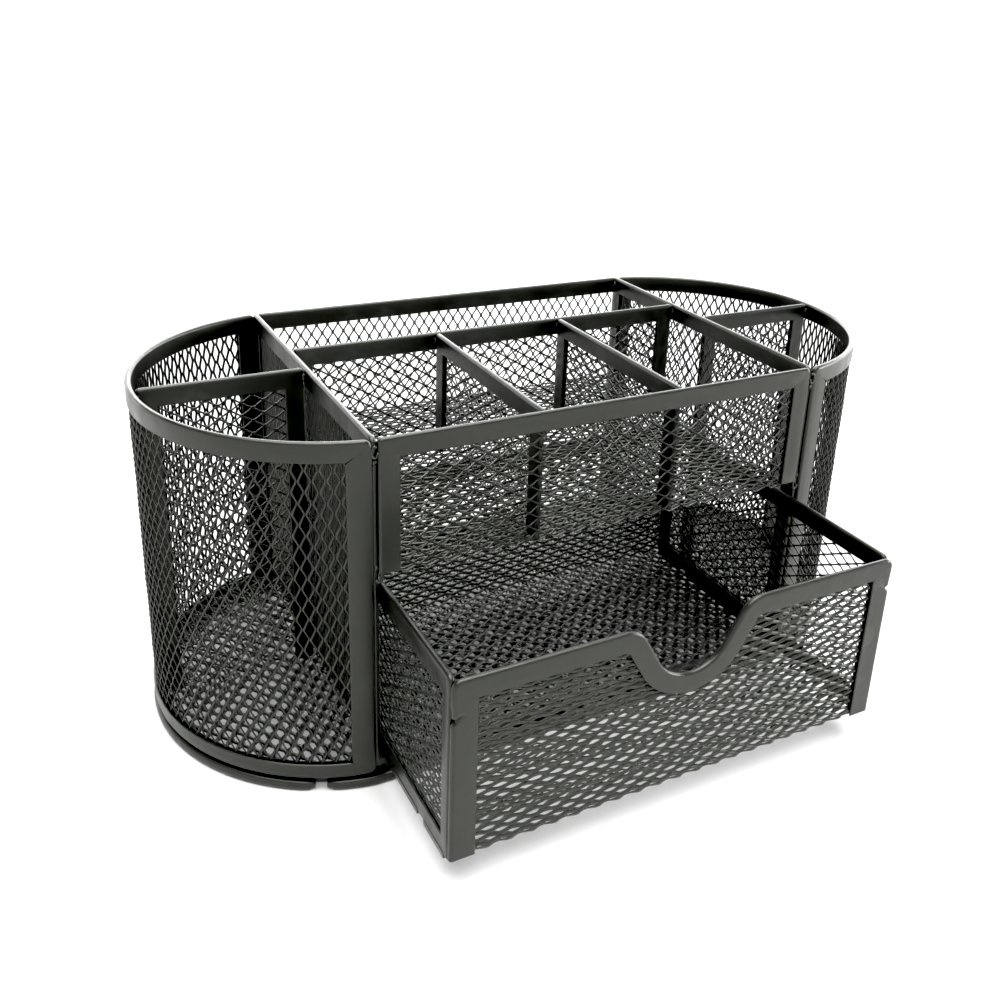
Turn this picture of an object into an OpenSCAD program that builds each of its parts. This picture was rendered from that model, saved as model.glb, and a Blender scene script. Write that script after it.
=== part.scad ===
// Desk organizer in expanded metal mesh: an oval case with a pen cup at each end, three trays and a
// note slot in the middle, and a drawer under the trays. Every mesh sheet has its edge held in a folded
// sheet strip. The origin is on the table at the middle of the case. +X is to the right, +Y to the
// back and +Z up. The drawer stands partly open.

/* [Case] */
// Width of the straight middle part of the case
case_w = 136; // [124:1:144]
// Depth of the case, front to back
case_d = 108; // [100:1:114]
// Height of the case
case_h = 100; // [94:1:110]
// How far each pen cup reaches out past the middle part
cup_reach = 46; // [40:1:50]

/* [Compartments] */
// Height of the tray floor above the table
tray_floor_z = 63; // [61:0.5:66]
// Depth of the front trays, from the case front to the middle wall
tray_d = 70; // [60:1:78]
// Distance between the two tray dividers
tray_pitch = 42.6; // [36:0.2:46]

/* [Sheet metal] */
// Thickness of the mesh sheet
mesh_t = 0.8; // [0.6:0.1:1]
// Thickness of a folded edge strip
strip_t = 1.8; // [1.6:0.1:2.2]
// Width of the edge strips
strip_w = 5.4; // [5:0.1:6.5]
// Width of the upright posts at the ends of the cup walls
post_w = 6.4; // [5.5:0.1:7.5]

/* [Base] */
// Height of the hem that the case stands on
hem_h = 2.9; // [2:0.1:3.2]
// Lowest point of the bottom bands
band_z = 3.9; // [3.5:0.1:4.5]
// Width of the bottom bands
band_w = 4.5; // [4:0.1:6]
// Height of the case floor's top face above the table
floor_z = 7.2; // [6:0.1:7.2]

/* [Drawer] */
// How far the drawer stands open
drawer_open = 41.7; // [0:0.1:60]
// Width of the drawer
drawer_w = 131; // [118:0.5:131]
// Depth of the drawer, front to back
drawer_d = 104; // [90:1:104]
// Lowest point of the drawer's front
drawer_z = 8.8; // [8.8:0.1:9.4]
// Height of the drawer's front
drawer_h = 50.6; // [46:0.1:51]
// Width of the drawer front's upright strips
front_post_w = 6.6; // [5.5:0.1:8]

/* [Finger scoop] */
// Depth of the scoop in the drawer's front
scoop_d = 17; // [12:0.5:20]
// Distance from the middle of the scoop to where its rounded shoulders start
scoop_half = 20.5; // [18:0.5:26]
// Radius of the scoop's bottom
scoop_r = 11.5; // [9:0.5:13]
// Radius of the scoop's shoulders
shoulder_r = 7; // [6.5:0.5:8]
// Slope of the scoop's sides, in degrees
scoop_slope = 60; // [55:1:65]

/* [Hidden] */
$fn = 96;

strip_color = [0.16, 0.165, 0.16];
mesh_color = [0.09, 0.09, 0.09];

half_w = case_w / 2;
half_d = case_d / 2;
// Radius and centre of the arc that each cup follows in plan
cup_r = (cup_reach * cup_reach + half_d * half_d) / (2 * cup_reach);
cup_x = half_w + cup_reach - cup_r;
cup_angle = asin(half_d / cup_r);
post_angle = post_w / cup_r * 180 / PI;
// Distance from a strip's face to the mesh sheet inside it, and from its edge to the sheet's edge
mesh_in = (strip_t - mesh_t) / 2;
mesh_edge = 1;
// Inner faces of the case's upright walls
inner_w = half_w - strip_t;
inner_d = half_d - strip_t;
middle_y = tray_d - half_d;
cup_inner_r = cup_r - strip_t;
cup_end_x = cup_x + sqrt(cup_inner_r * cup_inner_r - strip_t * strip_t / 4);
// Base
hem_out = 0.3;
hem_in = strip_t + mesh_t + 0.5;
skirt_z = 1.2;
hem_round = 0.6;
// Drawer
half_dw = drawer_w / 2;
front_y = -half_d - drawer_open;
side_y = front_y + strip_t;
drawer_back = front_y + drawer_d;
drawer_top = drawer_z + drawer_h;
scoop_w = 5.6;
scoop_zc = drawer_top - scoop_d + scoop_r;
bend_r = 1.6;
side_foot_w = 5;
side_wrap_w = 3.6;
runner_h = 1.2;
runner_inset = 1.5;
runner_short = 12.5;
runner_gap = 3.5;
far = 200;

// Cross-section of a folded strip: its rounded closed edge is on top and the sheet goes in from below
module strip_section(w) {
    difference() {
        union() {
            translate([strip_t / 2, w - strip_t / 2]) circle(d = strip_t);
            square([strip_t, w - strip_t / 2]);
        }
        translate([mesh_in, -1]) square([mesh_t, w + 1 - mesh_edge]);
    }
}

// A strip of length l along +X, its faces square to Y, with its lower edge at z = 0
module strip_x(l, w) {
    rotate([90, 0, 90]) linear_extrude(l) strip_section(w);
}

// A strip of length l along +Y, its faces square to X, with its lower edge at z = 0
module strip_y(l, w) {
    translate([0, l, 0]) rotate([90, 0, 0]) linear_extrude(l) strip_section(w);
}

// An upright strip in an XZ wall, with its closed edge towards -X and its open edge at x = 0
module strip_up(l, w) {
    rotate([0, 0, 90]) linear_extrude(l) strip_section(w);
}

// A frame of strips in an XZ wall l wide: two uprights and a top strip, open at the bottom
module frame_xz(l, z0, z1, top_w, end_w) {
    difference() {
        union() {
            translate([0, 0, z1 - top_w]) strip_x(l, top_w);
            translate([0, 0, z0]) cube([end_w, strip_t, z1 - top_w - z0]);
            translate([l - end_w, 0, z0]) cube([end_w, strip_t, z1 - top_w - z0]);
        }
        translate([mesh_edge, mesh_in, z0 - 1]) cube([l - 2 * mesh_edge, mesh_t, z1 - z0 + 1 - mesh_edge]);
    }
}

// The same frame in a YZ wall, running along +Y
module frame_yz(l, z0, z1, top_w, end_w) {
    translate([strip_t, 0, 0]) rotate([0, 0, 90]) frame_xz(l, z0, z1, top_w, end_w);
}

// The mesh sheet that frame_xz holds
module sheet_xz(l, z0, z1) {
    translate([mesh_edge, mesh_in, z0]) cube([l - 2 * mesh_edge, mesh_t, z1 - mesh_edge - z0]);
}

module sheet_yz(l, z0, z1) {
    translate([strip_t, 0, 0]) rotate([0, 0, 90]) sheet_xz(l, z0, z1);
}

// Places a right-hand part on the left side too
module side(s) {
    mirror([s < 0 ? 1 : 0, 0, 0]) children();
}

// A profile swept along the right cup's arc, from angle a0 to a1, kept d outside the side wall
module cup_sweep(a0, a1, d = 0) {
    intersection() {
        translate([cup_x, 0, 0]) rotate([0, 0, a0]) rotate_extrude(angle = a1 - a0) children();
        translate([half_w + d, -far / 2, -1]) cube([far, far, far]);
    }
}

// The case's plan, moved in by d
module plan(d) {
    square([2 * half_w, 2 * (half_d - d)], center = true);
    for (s = [-1, 1]) {
        side(s) intersection() {
            translate([cup_x, 0]) circle(cup_r - d, $fn = 180);
            translate([half_w - 0.01, -far / 2]) square([far, far]);
        }
    }
}

module plan_ring(d0, d1, z0, z1) {
    translate([0, 0, z0]) linear_extrude(z1 - z0) difference() {
        plan(d0);
        plan(d1);
    }
}

// ---- base ----

// The case floor, with its edge folded down into the hem
module base_mesh() {
    color(mesh_color) {
        translate([0, 0, floor_z - mesh_t]) linear_extrude(mesh_t) plan(strip_t);
        plan_ring(strip_t, strip_t + mesh_t, skirt_z, floor_z - mesh_t);
    }
}

// The folded hem round the floor's edge, which the case stands on
module base_hem() {
    color(strip_color) difference() {
        union() {
            plan_ring(hem_round - hem_out, hem_in, 0, hem_h);
            plan_ring(-hem_out, hem_in, hem_round, hem_h - hem_round);
        }
        plan_ring(strip_t, strip_t + mesh_t, skirt_z, hem_h + 1);
    }
}

// ---- pen cups ----

module cup_wall_mesh(s) {
    color(mesh_color) side(s) cup_sweep(-cup_angle - 2, cup_angle + 2, mesh_edge)
        translate([cup_r - mesh_in - mesh_t, band_z + mesh_edge])
            square([mesh_t, case_h - band_z - 2 * mesh_edge]);
}

module cup_top_rim(s) {
    color(strip_color) side(s) cup_sweep(-cup_angle - 2, cup_angle + 2)
        translate([cup_inner_r, case_h - strip_w]) strip_section(strip_w);
}

module cup_bottom_band(s) {
    color(strip_color) side(s) cup_sweep(-cup_angle - 2, cup_angle + 2)
        translate([cup_inner_r, band_z + band_w]) mirror([0, 1]) strip_section(band_w);
}

// A post folded over the end of the cup wall, between the band and the rim
module cup_post(s, back) {
    a0 = back ? cup_angle - post_angle : -cup_angle - 2;
    a1 = back ? cup_angle + 2 : -cup_angle + post_angle;
    post_z0 = band_z + band_w;
    post_z1 = case_h - strip_w;
    color(strip_color) side(s) difference() {
        cup_sweep(a0, a1) translate([cup_inner_r, post_z0]) square([strip_t, post_z1 - post_z0]);
        cup_sweep(-cup_angle - 2, cup_angle + 2, mesh_edge)
            translate([cup_inner_r + mesh_in, 0]) square([mesh_t, case_h]);
    }
}

module cup_divider_mesh(s) {
    color(mesh_color) side(s) translate([half_w, -strip_t / 2, 0])
        sheet_xz(cup_end_x - half_w, floor_z, case_h);
}

module cup_divider_frame(s) {
    color(strip_color) side(s) translate([half_w, -strip_t / 2, 0])
        frame_xz(cup_end_x - half_w, floor_z, case_h, strip_w, strip_w);
}

// ---- walls of the middle part ----

module side_wall_mesh(s) {
    color(mesh_color) side(s) translate([inner_w, -half_d, 0]) sheet_yz(case_d, floor_z, case_h);
}

// The strips over the side wall's top and upright edges, standing on the case floor
module side_wall_frame(s) {
    color(strip_color) side(s) translate([inner_w, -half_d, 0])
        frame_yz(case_d, floor_z, case_h, strip_w, strip_w);
}

module back_wall_mesh() {
    color(mesh_color) translate([-inner_w, inner_d + mesh_in, band_z + mesh_edge])
        cube([2 * inner_w, mesh_t, case_h - band_z - 2 * mesh_edge]);
}

module back_top_rim() {
    color(strip_color) translate([-inner_w, inner_d, case_h - strip_w]) strip_x(2 * inner_w, strip_w);
}

module back_bottom_band() {
    color(strip_color) translate([-inner_w, inner_d, band_z + band_w]) mirror([0, 0, 1])
        strip_x(2 * inner_w, band_w);
}

// ---- trays ----

// One sheet: the tray front, bent at its foot into the tray floor, which runs to the back wall
module tray_mesh() {
    front = -half_d + mesh_in;
    color(mesh_color) {
        translate([-inner_w + mesh_edge, front, tray_floor_z + bend_r - mesh_t])
            cube([2 * (inner_w - mesh_edge), mesh_t, case_h - mesh_edge - tray_floor_z - bend_r + mesh_t]);
        translate([-inner_w + mesh_edge, front + bend_r, tray_floor_z - mesh_t])
            cube([2 * (inner_w - mesh_edge), inner_d - front - bend_r, mesh_t]);
        translate([-inner_w + mesh_edge, front + bend_r, tray_floor_z + bend_r - mesh_t])
            rotate([0, 90, 0]) linear_extrude(2 * (inner_w - mesh_edge)) bend_section();
    }
}

// A quarter of a bend in the sheet, between the front and the floor
module bend_section() {
    intersection() {
        difference() {
            circle(bend_r);
            circle(bend_r - mesh_t);
        }
        translate([0, -far]) square([far, far]);
    }
}

module tray_front_frame() {
    color(strip_color) translate([-inner_w, -half_d, 0])
        frame_xz(2 * inner_w, tray_floor_z + bend_r - mesh_t, case_h, strip_w, strip_w);
}

module middle_wall_mesh() {
    color(mesh_color) translate([-inner_w, middle_y - strip_t / 2, 0])
        sheet_xz(2 * inner_w, tray_floor_z, case_h);
}

module middle_wall_frame() {
    color(strip_color) translate([-inner_w, middle_y - strip_t / 2, 0])
        frame_xz(2 * inner_w, tray_floor_z, case_h, strip_w, strip_w);
}

module tray_divider_mesh(s) {
    color(mesh_color) side(s) translate([tray_pitch / 2 - strip_t / 2, -inner_d, 0])
        sheet_yz(middle_y - strip_t / 2 + inner_d, tray_floor_z, case_h);
}

module tray_divider_frame(s) {
    color(strip_color) side(s) translate([tray_pitch / 2 - strip_t / 2, -inner_d, 0])
        frame_yz(middle_y - strip_t / 2 + inner_d, tray_floor_z, case_h, strip_w, strip_w);
}

// ---- drawer ----

// The space above the drawer front's edge after the edge has moved down and in by w
module scoop_void(w) {
    r = shoulder_r - w;
    rb = scoop_r + w;
    zs = drawer_top - shoulder_r;
    sx = scoop_half - r * sin(scoop_slope);
    bx = rb * cos(90 - scoop_slope);
    top = drawer_top - w;
    translate([-far / 2, top]) square([far, far]);
    difference() {
        polygon([
            [-scoop_half, top + 1], [scoop_half, top + 1], [scoop_half, top],
            [sx, zs + r * cos(scoop_slope)], [bx, scoop_zc - rb * sin(90 - scoop_slope)],
            [-bx, scoop_zc - rb * sin(90 - scoop_slope)], [-sx, zs + r * cos(scoop_slope)],
            [-scoop_half, top]
        ]);
        for (s = [-1, 1]) {
            translate([s * scoop_half, zs]) circle(r);
        }
    }
    translate([0, scoop_zc]) circle(rb);
}

// The drawer front's outline, moved in by w along its top and by side_in at its sides
module front_outline(w, side_in, z0) {
    difference() {
        translate([-half_dw + side_in, z0]) square([drawer_w - 2 * side_in, drawer_top - z0]);
        scoop_void(w);
    }
}

// Raises an XZ outline t thick, with its front face at y = y0
module raise(y0, t) {
    translate([0, y0 + t, 0]) rotate([90, 0, 0]) linear_extrude(t) children();
}

// One sheet: the drawer's front, floor and back, bent at both feet
module drawer_tub_mesh() {
    sheet_y = front_y + mesh_in;
    back_y = drawer_back - mesh_in;
    inner = half_dw - strip_t;
    bend_z = drawer_z + bend_r;
    color(mesh_color) {
        raise(sheet_y, mesh_t) front_outline(mesh_edge, mesh_edge, bend_z);
        translate([-inner, sheet_y + bend_r, drawer_z])
            cube([2 * inner, back_y - sheet_y - 2 * bend_r, mesh_t]);
        translate([-inner, back_y - mesh_t, bend_z])
            cube([2 * inner, mesh_t, drawer_top - mesh_edge - bend_z]);
        translate([-inner, sheet_y + bend_r, bend_z]) rotate([0, 90, 0])
            linear_extrude(2 * inner) bend_section();
        translate([-inner, back_y - bend_r, bend_z]) mirror([0, 1, 0]) rotate([0, 90, 0])
            linear_extrude(2 * inner) bend_section();
    }
}

// The strip over the front's top and upright edges, which follows the finger scoop
module drawer_front_frame() {
    color(strip_color) difference() {
        raise(front_y, strip_t) difference() {
            front_outline(0, 0, drawer_z + bend_r);
            front_outline(scoop_w, front_post_w, drawer_z);
        }
        raise(front_y + mesh_in, mesh_t) front_outline(mesh_edge, mesh_edge, drawer_z);
    }
}

module drawer_side_mesh(s) {
    l = drawer_back - side_y;
    color(mesh_color) side(s)
        translate([half_dw - strip_t + mesh_in, side_y + mesh_edge, drawer_z + mesh_edge])
            cube([mesh_t, l - 2 * mesh_edge, drawer_h - 2 * mesh_edge]);
}

// The strips round all four edges of a drawer side
module drawer_side_frame(s) {
    l = drawer_back - side_y;
    color(strip_color) side(s) translate([half_dw - strip_t, side_y, drawer_z]) difference() {
        union() {
            translate([0, 0, drawer_h - strip_w]) strip_y(l, strip_w);
            translate([0, 0, side_foot_w]) mirror([0, 0, 1]) strip_y(l, side_foot_w);
            translate([0, 0, side_foot_w]) cube([strip_t, side_wrap_w, drawer_h - strip_w - side_foot_w]);
            translate([0, l - strip_w, side_foot_w])
                cube([strip_t, strip_w, drawer_h - strip_w - side_foot_w]);
        }
        translate([mesh_in, mesh_edge, mesh_edge])
            cube([mesh_t, l - 2 * mesh_edge, drawer_h - 2 * mesh_edge]);
    }
}

module drawer_back_rim() {
    color(strip_color) translate([-half_dw + strip_t, drawer_back - strip_t, drawer_top - strip_w])
        strip_x(drawer_w - 2 * strip_t, strip_w);
}

// The three hem lips under a drawer side, which slide on the case floor
module drawer_runner(s) {
    back_y = drawer_back - runner_inset - runner_short;
    short_y = side_y + runner_inset;
    long_y = short_y + runner_short + runner_gap;
    color(strip_color) side(s) translate([half_dw - strip_t, 0, drawer_z - runner_h]) {
        runner_lip(short_y, runner_short);
        runner_lip(long_y, back_y - runner_gap - long_y);
        runner_lip(back_y, runner_short);
    }
}

// A lip with rounded ends
module runner_lip(y0, l) {
    translate([0, y0, 0]) rotate([90, 0, 90]) linear_extrude(strip_t) difference() {
        square([l, runner_h]);
        difference() {
            square([runner_h, runner_h]);
            translate([runner_h, runner_h]) circle(runner_h);
        }
        translate([l - runner_h, 0]) difference() {
            square([runner_h, runner_h]);
            translate([0, runner_h]) circle(runner_h);
        }
    }
}

base_mesh();
base_hem();
cup_wall_mesh(-1);  // cup_wall_mesh_left
cup_wall_mesh(1);  // cup_wall_mesh_right
cup_top_rim(-1);  // cup_top_rim_left
cup_top_rim(1);  // cup_top_rim_right
cup_bottom_band(-1);  // cup_bottom_band_left
cup_bottom_band(1);  // cup_bottom_band_right
cup_post(-1, false);  // cup_front_post_left
cup_post(1, false);  // cup_front_post_right
cup_post(-1, true);  // cup_back_post_left
cup_post(1, true);  // cup_back_post_right
cup_divider_mesh(-1);  // cup_divider_mesh_left
cup_divider_mesh(1);  // cup_divider_mesh_right
cup_divider_frame(-1);  // cup_divider_frame_left
cup_divider_frame(1);  // cup_divider_frame_right
side_wall_mesh(-1);  // side_wall_mesh_left
side_wall_mesh(1);  // side_wall_mesh_right
side_wall_frame(-1);  // side_wall_frame_left
side_wall_frame(1);  // side_wall_frame_right
back_wall_mesh();
back_top_rim();
back_bottom_band();
tray_mesh();
tray_front_frame();
middle_wall_mesh();
middle_wall_frame();
tray_divider_mesh(-1);  // tray_divider_mesh_left
tray_divider_mesh(1);  // tray_divider_mesh_right
tray_divider_frame(-1);  // tray_divider_frame_left
tray_divider_frame(1);  // tray_divider_frame_right
drawer_tub_mesh();
drawer_front_frame();
drawer_side_mesh(-1);  // drawer_side_mesh_left
drawer_side_mesh(1);  // drawer_side_mesh_right
drawer_side_frame(-1);  // drawer_side_frame_left
drawer_side_frame(1);  // drawer_side_frame_right
drawer_back_rim();
drawer_runner(-1);  // drawer_runner_left
drawer_runner(1);  // drawer_runner_right
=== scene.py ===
"""Desk organizer in expanded metal mesh: its looks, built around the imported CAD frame."""

import math

import bmesh
import bpy
import numpy as np
from mathutils import Matrix, Vector


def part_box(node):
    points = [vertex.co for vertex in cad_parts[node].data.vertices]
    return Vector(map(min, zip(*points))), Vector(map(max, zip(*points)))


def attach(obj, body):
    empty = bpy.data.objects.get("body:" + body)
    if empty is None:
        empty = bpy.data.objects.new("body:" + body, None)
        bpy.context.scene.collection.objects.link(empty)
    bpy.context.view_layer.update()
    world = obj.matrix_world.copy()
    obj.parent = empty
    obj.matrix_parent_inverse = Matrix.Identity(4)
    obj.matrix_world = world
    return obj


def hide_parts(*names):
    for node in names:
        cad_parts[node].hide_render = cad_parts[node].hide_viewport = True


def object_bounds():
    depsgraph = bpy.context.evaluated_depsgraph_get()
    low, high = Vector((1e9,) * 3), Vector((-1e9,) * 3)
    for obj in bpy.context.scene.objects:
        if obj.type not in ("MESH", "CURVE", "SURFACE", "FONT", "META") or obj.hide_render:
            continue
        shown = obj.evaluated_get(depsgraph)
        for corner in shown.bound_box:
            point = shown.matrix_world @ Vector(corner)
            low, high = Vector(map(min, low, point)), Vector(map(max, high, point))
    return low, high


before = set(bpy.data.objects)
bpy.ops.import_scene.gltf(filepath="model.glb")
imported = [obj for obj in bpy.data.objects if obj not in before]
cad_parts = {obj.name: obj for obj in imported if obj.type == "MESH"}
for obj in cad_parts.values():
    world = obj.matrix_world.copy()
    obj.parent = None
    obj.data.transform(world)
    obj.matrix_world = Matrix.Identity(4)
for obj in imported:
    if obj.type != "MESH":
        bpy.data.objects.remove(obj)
cad_low, cad_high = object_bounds()

MM = 0.001
PI = math.pi


# ---- sizes, in millimetres: read from the frame where it has them ----

def box_mm(node):
    low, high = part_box(node)
    return [v / MM for v in low], [v / MM for v in high]


side_low, side_high = box_mm("side_wall_frame_right")
rim_low, rim_high = box_mm("cup_top_rim_right")
band_low, band_high = box_mm("cup_bottom_band_right")
hem_low, hem_high = box_mm("base_hem")
floor_low, floor_high = box_mm("base_mesh")
middle_low, middle_high = box_mm("middle_wall_frame")
divider_low, divider_high = box_mm("tray_divider_frame_right")
cup_div_low, cup_div_high = box_mm("cup_divider_frame_right")
front_low, front_high = box_mm("drawer_front_frame")
dside_low, dside_high = box_mm("drawer_side_frame_right")
runner_low, runner_high = box_mm("drawer_runner_right")

HALF_W = side_high[0]
HALF_D = side_high[1]
TOP = side_high[2]
STRIP_T = side_high[0] - side_low[0]
HALF_T = STRIP_T / 2
STRIP_W = rim_high[2] - rim_low[2]
CUP_REACH = rim_high[0] - HALF_W
CUP_R = (CUP_REACH ** 2 + HALF_D ** 2) / (2 * CUP_REACH)
CUP_X = HALF_W + CUP_REACH - CUP_R
CUP_ANGLE = math.asin(HALF_D / CUP_R)
BAND_Z = band_low[2]
BAND_W = band_high[2] - band_low[2]
POST_W = 6.4
HEM_H = hem_high[2]
HEM_OUT = hem_high[1] - HALF_D
FLOOR_Z = floor_high[2]
TRAY_Z = middle_low[2]
INNER_W = HALF_W - STRIP_T
INNER_D = HALF_D - STRIP_T
MIDDLE_Y = (middle_low[1] + middle_high[1]) / 2
DIVIDER_X = (divider_low[0] + divider_high[0]) / 2
CUP_END = cup_div_high[0]
DRAWER_W = front_high[0]
DRAWER_FRONT = front_low[1]
DRAWER_BACK = dside_high[1]
DRAWER_Z = dside_low[2]
DRAWER_TOP = front_high[2]

MESH_T = 0.8
BEND_R = 1.2
SCOOP_DEPTH = 17.0
SCOOP_HALF = 20.5
SCOOP_R = 11.5
SHOULDER_R = 7.0
SCOOP_SLOPE = math.radians(60)
SCOOP_W = 5.6
FRONT_POST_W = 6.6
SIDE_FOOT_W = 5.0
SIDE_WRAP_W = 3.6

# How far inside its strip's outer edge a sheet ends, and how far above the sheet it stands on
SHEET_LAP = 1.2
FOOT_LAP = 0.4
# The gap between a strip and its neighbour
SNUG = 0.1
# The distance to a strip where there is none
NO_STRIP = 9.0

# Mesh cells: (long way, short way)
CELL_CUP = (5.8, 3.45)
CELL_FRONT = (6.2, 3.9)
CELL_BACK = (5.7, 3.6)
CELL_WALL = (5.6, 3.4)
CELL_DRAWER = (6.15, 3.35)
CELL_SIDE = (6.2, 3.5)
CELL_PLAIN = (6.1, 3.8)
CELL_BASE = (5.6, 4.2)


# ---- panels: each turns (along, up, out) in millimetres into a place ----

def wall_x(y, out=-1):
    """An XZ wall: along is +X, out is towards -Y unless out=1."""
    return lambda u, v, n: np.stack(np.broadcast_arrays(u, y + out * n, v), -1)


def wall_y(x):
    """A YZ wall: along is +Y, out is +X."""
    return lambda u, v, n: np.stack(np.broadcast_arrays(x + n, u, v), -1)


def level(z):
    """A level sheet: along is +X, up is +Y, out is +Z."""
    return lambda u, v, n: np.stack(np.broadcast_arrays(u, v, z + n), -1)


def cup_wall():
    """The right cup's wall: along is the arc length on its outer face."""
    r0 = CUP_R - HALF_T

    def place(u, v, n):
        a = u / CUP_R
        return np.stack(np.broadcast_arrays(
            CUP_X + (r0 + n) * np.cos(a), (r0 + n) * np.sin(a), v), -1)
    return place


def bent(points, radius):
    """A sheet bent along a path of (y, z) points: along is +X, up is the path's length.

    Gives the panel and the length of the path up to each of its points."""
    pts = [np.array(p, float) for p in points]
    dirs = [(b - a) / np.linalg.norm(b - a) for a, b in zip(pts, pts[1:])]
    out = [np.array([d[1], -d[0]]) for d in dirs]
    path = [(pts[0], out[0])]
    for i in range(1, len(pts) - 1):
        start = pts[i] - dirs[i - 1] * radius
        centre = start + dirs[i] * radius
        for k in range(9):
            a = PI / 2 * k / 8
            spoke = -dirs[i] * math.cos(a) + dirs[i - 1] * math.sin(a)
            normal = out[i - 1] * math.cos(a) + out[i] * math.sin(a)
            path.append((centre + spoke * radius, normal))
    path.append((pts[-1], out[-1]))
    ys, zs = np.array([p for p, n in path]).T
    ny, nz = np.array([n for p, n in path]).T
    lengths = [0.0]
    for (p, _), (q, _) in zip(path, path[1:]):
        lengths.append(lengths[-1] + math.hypot(q[0] - p[0], q[1] - p[1]))

    def place(u, v, n):
        y = np.interp(v, lengths, ys) + n * np.interp(v, lengths, ny)
        z = np.interp(v, lengths, zs) + n * np.interp(v, lengths, nz)
        return np.stack(np.broadcast_arrays(u, y, z), -1)
    return place, lengths


# ---- mesh building ----

class Shape:
    """Closed parts in millimetres, gathered into one mesh."""

    def __init__(self, mirror=False):
        self.mirror = mirror
        self.points = []
        self.quads = []
        self.polys = []
        self.count = 0

    def add(self, points, quads, polys=()):
        """Adds a part, turning its faces outward."""
        points = np.asarray(points, float).reshape(-1, 3)
        quads = np.asarray(quads, int).reshape(-1, 4)
        if self.mirror:
            points = points * np.array([-1.0, 1.0, 1.0])
        middle = points.mean(axis=0)
        local = points - middle
        a, b, c, d = (local[quads[:, i]] for i in range(4))
        volume = np.einsum("ij,ij->", a, np.cross(b, c)) + np.einsum("ij,ij->", a, np.cross(c, d))
        polys = [list(p) for p in polys]
        for p in polys:
            for i in range(1, len(p) - 1):
                volume += np.dot(local[p[0]], np.cross(local[p[i]], local[p[i + 1]]))
        if volume < 0:
            quads = quads[:, ::-1]
            polys = [p[::-1] for p in polys]
        self.points.append(points)
        self.quads.append(quads + self.count)
        self.polys += [[i + self.count for i in p] for p in polys]
        self.count += len(points)

    def build(self, name, material, sharp=None, clean=False):
        points = np.clip(np.concatenate(self.points) * MM, np.array(cad_low), np.array(cad_high))
        quads = np.concatenate(self.quads)
        mesh = bpy.data.meshes.new(name)
        corners = [quads.ravel()] + [np.array(p) for p in self.polys]
        sizes = np.concatenate([np.full(len(quads), 4), [len(p) for p in self.polys]]).astype(int)
        loops = np.concatenate(corners)
        mesh.vertices.add(len(points))
        mesh.vertices.foreach_set("co", points.ravel())
        mesh.loops.add(len(loops))
        mesh.loops.foreach_set("vertex_index", loops)
        mesh.polygons.add(len(sizes))
        mesh.polygons.foreach_set("loop_start", np.concatenate([[0], np.cumsum(sizes)[:-1]]))
        mesh.polygons.foreach_set("use_smooth", np.ones(len(sizes), bool))
        mesh.update(calc_edges=True)
        if clean:
            work = bmesh.new()
            work.from_mesh(mesh)
            bmesh.ops.remove_doubles(work, verts=work.verts, dist=2e-7)
            bmesh.ops.dissolve_degenerate(work, edges=work.edges, dist=2e-7)
            work.to_mesh(mesh)
            work.free()
        mesh.validate()
        if sharp is not None:
            mesh.set_sharp_from_angle(angle=math.radians(sharp))
        obj = bpy.data.objects.new(name, mesh)
        bpy.context.scene.collection.objects.link(obj)
        mesh.materials.append(material)
        return obj


def skin(total, m, closed=False):
    """The quads between total rings of m points, and the two end faces if the rings don't close."""
    i = np.arange(total if closed else total - 1)[:, None]
    j = np.arange(m)[None, :]
    i2, j2 = (i + 1) % total, (j + 1) % m
    quads = np.stack(np.broadcast_arrays(i * m + j, i * m + j2, i2 * m + j2, i2 * m + j), -1)
    ends = [] if closed else [list(range(m))[::-1], [(total - 1) * m + k for k in range(m)]]
    return quads.reshape(-1, 4), ends


def ripple(u, v, phase=0.0):
    """A slow, small unevenness between -1 and 1."""
    return (np.sin(0.13 * u + 0.21 * v + phase) + np.sin(0.31 * u - 0.17 * v + 2.1 * phase + 1.3)
            + 0.6 * np.sin(0.57 * u + 0.43 * v + 0.7 * phase)) / 2.6


# ---- expanded metal ----

# The strand's cross-section: (across, through) in units of its width and thickness
STRAND = np.array([[0.5, 0.0], [0.36, 0.5], [-0.36, 0.5], [-0.5, 0.0], [-0.36, -0.5], [0.36, -0.5]])
STRAND_SIDES = len(STRAND)
STRAND_W = 0.7
STRAND_T = 0.4
STRAND_TILT = 30
STRAND_WANDER = 0.03
BOND = 0.8
BOND_LAP = 0.03
SHORTEST_ROW = 1.5
SHEET_WAVE = 0.10
# A sheet is pressed to this part of its depth under a strip, and is free PRESS_REACH further in.
PRESSED = 0.45
PRESS_REACH = 2.0
WAVE_REACH = 6.0


def zigzag(s0, s1, long, bond, start):
    """The places from s0 to s1 where a ribbon bends, and the side it is on there, from -1 to 1."""
    m = np.arange(math.floor((s0 - start) / (long / 2)) - 1, math.ceil((s1 - start) / (long / 2)) + 2)
    centres = start + m * long / 2
    knots = np.stack([centres - bond / 2, centres + bond / 2], 1).ravel()
    sides = np.repeat(np.where(m % 2 == 0, 1.0, -1.0), 2)
    inside = (knots > s0 + 0.05) & (knots < s1 - 0.05)
    places = np.concatenate([[s0], knots[inside], [s1]])
    ends = [[np.interp(s, knots, sides)] for s in (s0, s1)]
    return places, np.concatenate([ends[0], sides[inside], ends[1]])


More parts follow.
